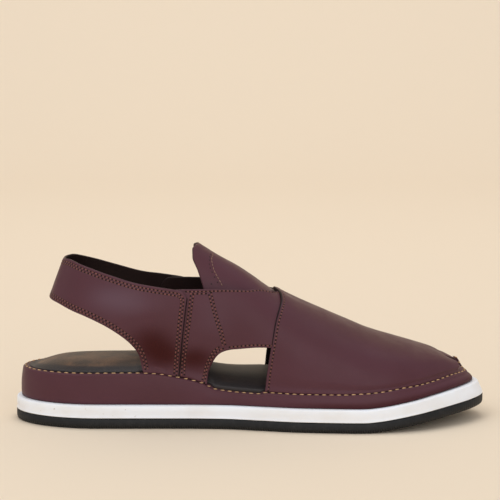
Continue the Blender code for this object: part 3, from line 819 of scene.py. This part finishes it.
def sew(name, lines, pitch, slot):
    """Needle holes and the thread between them along seam lines, as two joined meshes."""
    c = colours()
    hole = bpy.data.materials.get("Needle holes") or plain_material("Needle holes", c.hole, 0.95)
    thread = bpy.data.materials.get("Seam thread") or thread_material("Seam thread", c.seam_thread)
    dots, runs = [], []
    for points, out, shift, *beside in lines:
        dots.append(spaced(points, out, pitch, shift, *beside))
        runs.append(spaced(points, out, pitch, shift + 0.5, *beside))
    # The needle holes are flat dark dots: painted shade of the holes.
    dot = capsule(HOLE_SIZE, 0.92 * HOLE_SIZE, 0.16 * MM)
    run = capsule(pitch - 0.70 * HOLE_SIZE, 0.70 * MM, 0.28 * MM)
    mesh_piece(name + "_holes", *scatter(dot, dots), hole, slot)
    mesh_piece(name + "_thread", *scatter(run, runs), thread, slot)


def rim_drop(x):
    """How far the wedge's rim is rounded down under the stitches, at a place along the sole."""
    return smooth_curve(DROP_ALONG, DROP, x / sizes().sole_length + 0.5) * MM


def toe_fold(points):
    """How far the rim is drawn up in a small fold on the inner side of the toe."""
    away = (points[..., :2] - np.array(FOLD_AT)) / np.array(FOLD_REACH)
    return FOLD_HEIGHT * np.exp(-(away ** 2).sum(-1))


def lowered(base, girth):
    """The leather's foot drawn down to the wedge's rounded rim."""
    foot = 1 - ease(np.minimum(girth, 2 - girth), 0.0, 0.05)
    base[..., 2] -= foot * (0.25 * MM + rim_drop(base[..., 0]))
    return base


def on_last(last, along, girth, height, shift=0.0):
    """Line over the last through a few places, moved sideways along the surface by a shift."""
    at, keys = np.linspace(0, 1, 400), np.linspace(0, 1, len(along))
    way, girth = way_of(smooth_curve(keys, along, at)), smooth_curve(keys, girth, at)
    points, out = last.shell(way, girth, height), last.normal(way, girth)
    return points + unit(np.cross(out, np.gradient(points, axis=0))) * shift


def ribbon(last, low, high, columns, lift, mirrored=False):
    """Grid of points and outward directions between two edges given as (along, girth) tables."""
    low_way, high_way = way_of(low[0]), way_of(high[0])
    gap = last.surface(low_way, low[1]) - last.surface(high_way, high[1])
    share = spread(columns, np.linalg.norm(gap, axis=-1) * 1.08)
    way = low_way[:, None] * (1 - share) + high_way[:, None] * share
    girth = np.asarray(low[1])[:, None] * (1 - share) + np.asarray(high[1])[:, None] * share
    raised = lift(way, girth, share)
    girth = 2 - girth if mirrored else girth
    out = last.normal(way, girth)
    return lowered(last.surface(way, girth) + out * raised[..., None], girth), out


def tuck(girth):
    """How far leather is drawn in near the rim, flaring out again where it is stitched down."""
    return (0.7 * (1 - ease(girth, 0.0, 0.10)) - 1.1 * (1 - ease(girth, 0.0, 0.035))) * MM


def vamp(last, over):
    """Crossing vamp piece; the one on top starts at the outer rim, the other at the inner rim."""
    rows_at = np.linspace(0, 1, VAMP_ROWS)
    back = smooth_curve(VAMP_AT, VAMP_BACK_ALONG, rows_at), smooth_curve(VAMP_AT, VAMP_BACK_GIRTH, rows_at)
    front = smooth_curve(VAMP_AT, VAMP_FRONT_ALONG, rows_at), smooth_curve(VAMP_AT, VAMP_FRONT_GIRTH, rows_at)
    if over:
        set_down = 0.11 * ease(rows_at, 0.33, 0.40) * (1 - ease(rows_at, 0.55, 0.70))
        back = back[0], back[1] + set_down

    def lift(way, girth, share):
        along = along_of(way)
        raised = -tuck(np.minimum(girth, 2 - girth))
        if over:
            lap = 1.25 * MM * ease(along, 0.42, 0.52) * (1 - 0.7 * ease(along, 0.90, 0.985))
            raised = raised + lap * ease(girth, 0.10, 0.50)
            back = np.exp(-(share / 0.10) ** 2)
            raised = raised - 0.95 * MM * back * ease(girth, 0.86, 1.0)
            far = np.exp(-(share / 0.5) ** 2) * ease(girth, 1.05, 1.25) * (1 - ease(along, 0.50, 0.56))
            raised = raised - 0.9 * MM * far * (1 - back)
            raised = raised + 0.45 * MM * np.exp(-(share / 0.05) ** 2) * np.exp(-((girth - 0.74) / 0.16) ** 2)
        return raised

    return Panel(*ribbon(last, back, front, VAMP_COLUMNS, lift, mirrored=not over), sizes().leather)


def heel_strap(last):
    """Strap from the outer side round the heel to the inner side."""
    near_end = 1 - EDGE_ROWS / (0.9 * sizes().sole_length)
    turn = np.concatenate([-near_end, np.linspace(-0.99, 0.99, STRAP_ROWS), near_end[::-1]])
    at = 1 - np.abs(turn)
    low = smooth_curve(STRAP_AT, STRAP_LOW_ALONG, at), smooth_curve(STRAP_AT, STRAP_LOW_GIRTH, at)
    high = smooth_curve(STRAP_AT, STRAP_HIGH_ALONG, at), smooth_curve(STRAP_AT, STRAP_HIGH_GIRTH, at)
    leather = sizes().leather
    gap = last.surface(way_of(low[0]), low[1]) - last.surface(way_of(high[0]), high[1])
    share = spread(STRAP_COLUMNS, np.linalg.norm(gap, axis=-1) * 1.05)
    way = way_of(low[0])[:, None] * (1 - share) + way_of(high[0])[:, None] * share
    girth = low[1][:, None] * (1 - share) + high[1][:, None] * share
    along = along_of(way)
    lap = (leather + 0.1 * MM) * ease(along, 0.27, 0.31) * ease(girth, 0.0, 0.10)
    raised = (0.15 + 0.45 * ease(girth, 0.0, 0.05)) * MM + lap * 0.7 - tuck(girth)
    girth = np.where(turn[:, None] < 0, girth, 2 - girth)
    out = last.normal(way, girth)
    return Panel(lowered(last.surface(way, girth) + out * raised[..., None], girth), out, leather)


def tongue(last):
    """Tongue, drawn in from the last at its free end."""
    at = np.linspace(0, 1, TONGUE_ROWS)[:, None]
    across = np.linspace(-1, 1, TONGUE_COLUMNS)[None, :]
    half = smooth_curve(TONGUE_AT, TONGUE_HALF, at)
    drawn = smooth_curve(TONGUE_AT, TONGUE_DRAWN, at) * 0.24
    free = smooth_curve(TONGUE_ACROSS, TONGUE_END, np.abs(across))
    way = way_of(free + (TONGUE_ROOT - free) * at)
    girth = 1 + half * across
    out = last.normal(way, girth)
    base = last.surface(way, girth) - out * 2.3 * MM
    base[..., 1] += (last.centre(free) - base[..., 1]) * drawn
    return Panel(base, out, sizes().leather)


class CHAPPAL_OT_outsole(bpy.types.Operator):
    """Black rubber outsole with a rounded, finely notched edge"""

    bl_idname = "chappal.outsole"
    bl_label = "Outsole"

    def execute(self, context):
        s, last = sizes(), Last(sizes())
        corner = 2.2 * MM
        turns = np.linspace(0, np.pi / 2, 7)
        rings = [(lambda x, a=a: corner * (1 - np.sin(a)),
                  lambda x, a=a: last.spring(x) + corner * (1 - np.cos(a))) for a in turns]
        top = s.outsole_thickness - 0.15 * MM
        rings += [
            (lambda x: 0.0 * x, lambda x: last.spring(x) + top - 0.5 * MM),
            (lambda x: 0.5 * MM + 0 * x, lambda x: last.spring(x) + top),
        ]
        rubber = rubber_material("Black rubber", colours().black)
        item = sole_piece(last, "outsole_rubber", rings, rubber, "outsole")
        places = np.array([v.co for v in item.data.vertices])
        add_values(item, "tread", 1 - ease(places[:, 2] - last.spring(places[:, 0]), 1.5 * MM, 2.4 * MM))
        return {"FINISHED"}


class CHAPPAL_OT_midsole(bpy.types.Operator):
    """White foamed layer over the outsole"""

    bl_idname = "chappal.midsole"
    bl_label = "White midsole"

    def execute(self, context):
        s, last = sizes(), Last(sizes())

        def low(x):
            return last.spring(x) + s.outsole_thickness

        def inset(x, up):
            return 0.3 * MM + 2.6 * MM * last.toe_share(x) * up

        full = s.midsole_thickness / MM - 0.15
        rings = []
        for up, into, rise in (
            (0, 0.6, 0.1), (0, -0.25, 0.2), (0, -0.3, 0.6), (0, 0.05, 1.15), (0, 0.1, 1.8),
            (0.5, -0.1, 0.5 * full), (1, 0.0, full - 1.1), (1, 0.3, full - 0.35), (1, 1.0, full),
        ):
            rings.append((lambda x, up=up, into=into: inset(x, up) + into * MM,
                          lambda x, rise=rise: low(x) + rise * MM))
        sole_piece(last, "midsole_foam", rings, foam_material("White foam", colours().white), "midsole")
        return {"FINISHED"}


class CHAPPAL_OT_wedge(bpy.types.Operator):
    """Leather-covered wedge with its rounded rim and the thread stitched round it"""

    bl_idname = "chappal.wedge"
    bl_label = "Wedge and rim stitches"

    def execute(self, context):
        s, last = sizes(), Last(sizes())
        corner = 1.5 * MM

        def wall(x):
            return last.wedge_inset(x) - 0.25 * MM

        def flank(share):
            lean = share ** 2.2
            bulge = 0.3 * MM * np.sin(np.pi * share)
            return lambda x: last.wedge_foot(x) * (1 - lean) + wall(x) * lean - bulge

        def foot(x):
            return last.spring(x) + s.outsole_thickness + s.midsole_thickness

        def rise(share):
            return lambda x: foot(x) * (1 - share) + (last.rim_height(x) - rim_drop(x) - corner) * share

        rings = [
            (lambda x: last.wedge_foot(x) + 0.7 * MM, foot),
            (lambda x: last.wedge_foot(x) + 0.1 * MM, lambda x: foot(x) + 0.35 * MM),
        ]
        rings += [(flank(share), rise(share)) for share in (0.1, 0.25, 0.4, 0.55, 0.7, 0.85)]
        for a in np.linspace(0, np.pi / 2, 7):
            rings.append((lambda x, a=a: wall(x) + corner * (1 - np.cos(a)),
                          lambda x, a=a: last.rim_height(x) - rim_drop(x) - corner * (1 - np.sin(a))))
        for away, depth, drop in (
            (-0.40, 0.08, 1), (-0.2, 0.34, 1), (0.0, 0.42, 1), (0.2, 0.34, 1),
            (0.45, 0.06, 0.9), (1.2, 0.0, 0.6), (2.2, 0.0, 0.0),
        ):
            rings.append((lambda x, d=away: last.wedge_inset(x) + STITCH_INSET + d * MM,
                          lambda x, d=depth, k=drop: last.rim_height(x) - rim_drop(x) * k - d * MM))
        item = sole_piece(last, "wedge_leather", rings, leather_look(), "wedge", stations=480)
        places = np.array([v.co for v in item.data.vertices])
        over_rim = places[:, 2] - last.rim_height(places[:, 0])
        places[:, 2] += toe_fold(places) * ease(over_rim, -7 * MM, -1.5 * MM)
        item.data.vertices.foreach_set("co", places.ravel())
        below = places[:, 2] < last.rim_height(places[:, 0]) - 3.5 * MM
        add_values(item, "seam", np.where(below, np.abs(places[:, 0] - JOIN_AT) / MM, NO_SEAM))
        # Painted shade: the wedge's leather is darkened towards its foot, from the waist forward
        over_foot = places[:, 2] - foot(places[:, 0])
        forward = ease(places[:, 0], -10 * MM, 60 * MM)
        add_values(item, "tone", -0.6 * (1 - ease(over_foot, 1 * MM, 6 * MM)) * forward)
        way = np.linspace(-1, 1, 6001)[:-1]
        line = sole_ring(last, way, lambda x: last.wedge_inset(x) + STITCH_INSET,
                         lambda x: last.rim_height(x) - rim_drop(x) + 0.05 * MM)
        line[:, 2] += 1.12 * toe_fold(line)
        heel = line[:, 0] < HEEL_STITCHES_TO
        front = np.roll(np.arange(len(way)), len(way) // 2)
        front = front[~heel[front]]
        runs = ((line[heel], HEEL_PITCH), (line[front], s.rim_pitch))
        thread = thread_material("Rim thread", colours().rim_thread)
        # The rim's needle holes are flat dark dots between the stitches: painted shade of the dimples.
        dimple = plain_material("Rim needle holes", srgb("#351a1e"), 0.9)
        dash, dot = capsule(2.7 * MM, 0.95 * MM, 0.85 * MM), capsule(1.7 * MM, 0.8 * MM, 0.2 * MM)
        for name, shape, look, shift in (
            ("rim_thread", dash, thread, 0.0), ("rim_holes", dot, dimple, 0.5),
        ):
            places = [
                spaced(points, np.broadcast_to((0.0, 0.0, 1.0), points.shape), pitch, shift)
                for points, pitch in runs
            ]
            mesh_piece(name, *scatter(shape, places), look, "wedge")
        return {"FINISHED"}


class CHAPPAL_OT_insole(bpy.types.Operator):
    """Padded insole covered in brown leather"""

    bl_idname = "chappal.insole"
    bl_label = "Insole"

    def execute(self, context):
        s, last = sizes(), Last(sizes())

        def edge(x):
            covered = smooth_curve(COVER_ALONG, COVER, x / s.sole_length + 0.5)
            back = 1 - ease(x / s.sole_length, -0.48, -0.38)
            under = covered * (2.3 + 1.2 * last.toe_share(x)) * MM
            return last.wedge_inset(x) + (2.05 + 1.6 * back) * MM + under

        def crown(x, across):
            heel = np.minimum(1.0, np.maximum(0.0, (x + 0.5 * s.sole_length - 12 * MM) / (38 * MM)))
            full = (1 - (1 - heel) ** 3) * (1 - 0.8 * last.toe_share(x))
            return 4.6 * MM * full * (1 - np.abs(across) ** 3)

        def top(x, share):
            thin = 0.35 + 0.65 * ease(x / s.sole_length, -0.49, -0.40)
            return last.rim_height(x) + 1.5 * MM * share * thin

        rings = [
            (lambda x: edge(x) + 0.3 * MM, lambda x: last.rim_height(x) - 0.9 * rim_drop(x) + 0.05 * MM),
            (lambda x: edge(x), lambda x: top(x, 0.2) - 0.7 * rim_drop(x)),
            (lambda x: edge(x) + 0.1 * MM, lambda x: top(x, 0.6)),
            (lambda x: edge(x) + 0.45 * MM, lambda x: top(x, 0.87)),
            (lambda x: edge(x) + 1.0 * MM, lambda x: top(x, 1.0)),
        ]
        look = insole_material("Brown sock leather", colours().insole, "#3f2f23")
        item = sole_piece(last, "insole_pad", rings, look, "insole", crown, columns=60)
        places = np.array([v.co for v in item.data.vertices])
        outline = sole_ring(last, np.linspace(-1, 1, 400), edge, lambda x: 0.0 * x)
        flat = places * (1.0, 1.0, 0.0)
        side = 1 - ease(far_from(flat, outline), 4.0 * MM, 7.0 * MM)
        # flank: a dark band along the insole's edge, and painted shade over the forefoot under the upper
        add_values(item, "flank", np.maximum(side, 0.85 * ease(places[:, 0], -55 * MM, -35 * MM)))
        return {"FINISHED"}


def within(line, side, low, high):
    """Stretch of a line on one side of the shoe, between two places along it in millimetres."""
    points, out = line
    keep = (points[:, 1] * side > 0) & (points[:, 0] > low * MM) & (points[:, 0] < high * MM)
    return points[keep], out[keep]


def vamp_seams(panel, last, side):
    """Seam lines of a crossing piece; side is where its strap ends, -1 the outer and 1 the inner one."""
    body = panel.line("low", BODY_INSET)
    top, second = (panel.line("low", inset) for inset in BACK_INSETS)
    edge, inner = (panel.line("high", inset) for inset in FRONT_INSETS)
    lines = [
        (*within(body, -side, -60, 40), 0.0),
        (*within(top, side, -41, 40), 0.0),
        (*within(second, side, -38, -24.5), 0.5),
        (*within(edge, side, -45, -15.5), 0.0),
        (*within(inner, side, -45, -17), 0.5),
        (*within(edge, side, -14, 26), 0.0),
    ]
    for along, girth in ((SLANT_ALONG, SLANT_GIRTH), (UPRIGHT_ALONG, UPRIGHT_GIRTH)):
        girth = np.asarray(girth) if side < 0 else 2 - np.asarray(girth)
        rows = [
            panel.laid(on_last(last, along, girth, sizes().leather, shift))
            for shift in (ROW_SHIFT, -ROW_SHIFT)
        ]
        lines += [(*rows[0], 0.0, rows[0][0]), (*rows[1], 0.5, rows[0][0])]
    for line in lines:
        panel.sewn(line[0])
    return lines


class CHAPPAL_OT_under_vamp(bpy.types.Operator):
    """Crossing piece that lies under the other; its strap comes down on the outer side"""

    bl_idname = "chappal.under_vamp"
    bl_label = "Lower crossing piece"

    def execute(self, context):
        last = Last(sizes())
        panel = vamp(last, False)
        panel.raise_by((-33, -36, 43), -1.0, 11, (0.9, 1.0, 1.3))
        panel.raise_by((-2, -27, 66), 0.5, 18)
        # Painted shade in the quarter's low hollow, and a painted highlight higher up
        panel.shade((-35, -36, 43), -1.0, 12, (0.8, 1.0, 1.4))
        panel.shade((-22, -34, 68), 0.22, 14)
        lines = vamp_seams(panel, last, -1)
        panel.add("vamp_under", "upper")
        sew("vamp_under_seam", lines, sizes().seam_pitch, "upper")
        return {"FINISHED"}


class CHAPPAL_OT_over_vamp(bpy.types.Operator):
    """Crossing piece that lies on top; its strap comes down on the inner side"""

    bl_idname = "chappal.over_vamp"
    bl_label = "Upper crossing piece"

    def execute(self, context):
        last = Last(sizes())
        panel = vamp(last, True)
        # Painted shade over the front of the vamp
        panel.shade((85, -18, 42), -0.30, 34)
        # Painted shadow along the back edge high up, where it lifts over the tongue and the other piece
        upward = ease(panel.base[..., 2], 50 * MM, 53 * MM)
        panel.gap = (1 - ease(panel.from_low, 0.6 * MM, 1.0 * MM)) * upward
        lines = vamp_seams(panel, last, 1)
        panel.add("vamp_over", "upper")
        sew("vamp_over_seam", lines, 0.94 * sizes().seam_pitch, "upper")
        return {"FINISHED"}


class CHAPPAL_OT_heel_strap(bpy.types.Operator):
    """Heel strap with double rows of stitches along its edges"""

    bl_idname = "chappal.heel_strap"
    bl_label = "Heel strap"

    def execute(self, context):
        s, last = sizes(), Last(sizes())
        panel = heel_strap(last)
        for side in (-1, 1):
            panel.raise_by((-58, 32 * side, 50), -1.3, 12, (0.7, 1.0, 1.2))
            panel.raise_by((-80, 31 * side, 76), 0.5, 14)
            # Painted shade in the strap's low hollows and a painted highlight (sheen) along its upper part
            panel.shade((-62, 32 * side, 54), -0.72, 13, (0.8, 1.0, 1.0))
            panel.shade((-51, 33 * side, 45), -0.60, 11, (0.8, 1.0, 1.3))
            panel.shade((-90, 31 * side, 82), 0.30, 13, (0.8, 1.0, 1.3))
            panel.shade((-70, 32 * side, 77), 0.34, 15, (0.7, 1.0, 1.2))
        panel.crease([(-64, -31, 39), (-56, -31, 37.5), (-48, -31, 36)], 0.35, 1.3)
        panel.crease([(-58, -31, 42), (-52, -31, 40.5), (-46, -31, 39.5)], 0.25, 1.3)
        # Painted shadow: a dark line along the strap's front ends, where they stand over the quarter
        ends = np.minimum(panel.from_start, panel.from_end)
        panel.gap = 1 - ease(ends, 0.75 * MM, 1.15 * MM)
        face = panel.face()
        upper_path = np.concatenate([face[0, :-1], face[:, -1], face[-1, -2::-1]])
        free = np.abs(panel.base[:, 0, 0] + 0.5 * s.sole_length) < STRAP_LOW_ALONG[3] * s.sole_length
        lines = []
        for path, insets in ((upper_path, (2.0, 3.6)), (face[free, 0][::-1], (1.8, 3.5))):
            rows = [panel.along_edge(path, inset * MM) for inset in insets]
            for line, shift in zip(rows, (0.0, 0.5)):
                panel.sewn(line[0])
                lines.append((*line, shift, rows[0][0]))
        panel.add("heel_strap", "upper")
        sew("heel_strap_seam", lines, s.seam_pitch, "upper")
        return {"FINISHED"}


class CHAPPAL_OT_tongue(bpy.types.Operator):
    """Tongue under the crossing, with its short line of thread and needle holes"""

    bl_idname = "chappal.tongue"
    bl_label = "Tongue"

    def execute(self, context):
        last = Last(sizes())
        panel = tongue(last)
        rows, columns = panel.base.shape[:2]

        def place(at, across):
            return np.asarray(at) * (rows - 1), (np.asarray(across) + 1) / 2 * (columns - 1)

        panel.turned = 1 - ease(panel.from_start, 6 * MM, 9 * MM)
        thread = panel.trace(*place(TONGUE_THREAD_AT, TONGUE_THREAD_ACROSS))
        panel.sewn(thread[0])
        panel.add("tongue_leather", "tongue")
        face = panel.face()
        spots = grid_value(face, *place(TONGUE_HOLES_AT, TONGUE_HOLES_ACROSS))
        out = unit(grid_value(panel.out, *place(TONGUE_HOLES_AT, TONGUE_HOLES_ACROSS)))
        run = unit(np.gradient(spots, axis=0))
        # The needle holes are flat dark dots: painted shade of the holes.
        hole = plain_material("Needle holes, tongue", colours().hole, 0.8)
        dot = capsule(1.0 * MM, 0.9 * MM, 0.12 * MM)
        mesh_piece("tongue_holes", *scatter(dot, [(spots, out, run)]), hole, "tongue")
        line = thread_material("Tongue thread", srgb("#94705a"))
        stitch = capsule(1.9 * MM, 0.55 * MM, 0.4 * MM)
        mesh_piece("tongue_thread", *scatter(stitch, [spaced(*thread, 2.3 * MM)]), line, "tongue")
        return {"FINISHED"}


class CHAPPAL_OT_stage(bpy.types.Operator):
    """Pale floor with a curved backdrop, soft studio lights and the camera"""

    bl_idname = "chappal.stage"
    bl_label = "Stage, lights and camera"

    def execute(self, context):
        bend = np.linspace(0, np.pi / 2, 24)
        curve = [(1.4 + 1.2 * np.sin(a), 1.2 * (1 - np.cos(a))) for a in bend]
        profile = [(-4.0, 0.0), *curve, (2.6, 5.0)]
        points = [(x, y, z) for y, z in profile for x in (-5.0, 5.0)]
        mesh = bpy.data.meshes.new("backdrop")
        strips = [(2 * i, 2 * i + 1, 2 * i + 3, 2 * i + 2) for i in range(len(profile) - 1)]
        mesh.from_pydata(points, [], strips)
        mesh.materials.append(plain_material("Cream paper", colours().backdrop, 0.9))
        mesh.shade_smooth()
        backdrop = bpy.data.objects.new("backdrop", mesh)
        context.scene.collection.objects.link(backdrop)
        world = bpy.data.worlds.new("Studio")
        context.scene.world = world
        context.scene.view_settings.view_transform = "Standard"
        world.use_nodes = True
        fill(world.node_tree.nodes["Background"], {"Color": srgb("#f6f8ff"), "Strength": SKY_STRENGTH})
        for name, place, target, size, power in LAMPS:
            light = bpy.data.lights.new(name, "AREA")
            light.shape, light.size, light.energy = "DISK", size, power
            lamp = bpy.data.objects.new(name, light)
            lamp.location = place
            lamp.rotation_euler = (Vector(target) - Vector(place)).to_track_quat("-Z", "Y").to_euler()
            context.scene.collection.objects.link(lamp)
        camera = bpy.data.cameras.new("camera")
        camera.lens, camera.sensor_width = FOCAL, SENSOR
        camera.clip_start = 0.05
        eye = bpy.data.objects.new("camera", camera)
        eye.location = CAMERA_AT
        eye.rotation_euler = (np.radians(CAMERA_TILT), 0.0, 0.0)
        context.scene.collection.objects.link(eye)
        context.scene.camera = eye
        return {"FINISHED"}


OPERATORS = (
    CHAPPAL_OT_outsole, CHAPPAL_OT_midsole, CHAPPAL_OT_wedge, CHAPPAL_OT_insole, CHAPPAL_OT_tongue,
    CHAPPAL_OT_under_vamp, CHAPPAL_OT_over_vamp, CHAPPAL_OT_heel_strap, CHAPPAL_OT_stage,
)


class CHAPPAL_PT_panel(bpy.types.Panel):
    """Pieces, sizes and colours of the shoe"""

    bl_idname = "CHAPPAL_PT_panel"
    bl_label = "Peshawari chappal"
    bl_space_type = "VIEW_3D"
    bl_region_type = "UI"
    bl_category = CATEGORY

    def draw(self, context):
        for group in (context.scene.chappal_sizes, context.scene.chappal_colours):
            box = self.layout.box()
            for key in group.__annotations__:
                box.prop(group, key)
        column = self.layout.column(align=True)
        for operator in OPERATORS:
            column.operator(operator.bl_idname)


CLASSES = (ChappalSizes, ChappalColours, *OPERATORS, CHAPPAL_PT_panel)


def register():
    """Register the settings, the operators and the panel."""
    for item in CLASSES:
        bpy.utils.register_class(item)
    bpy.types.Scene.chappal_sizes = PointerProperty(type=ChappalSizes)
    bpy.types.Scene.chappal_colours = PointerProperty(type=ChappalColours)


def unregister():
    """Take them out again."""
    del bpy.types.Scene.chappal_sizes
    del bpy.types.Scene.chappal_colours
    for item in reversed(CLASSES):
        bpy.utils.unregister_class(item)


def main():
    """Build every piece in order."""
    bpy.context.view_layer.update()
    register()
    for operator in OPERATORS:
        family, name = operator.bl_idname.split(".")
        getattr(getattr(bpy.ops, family), name)()


if __name__ == "__main__":
    main()
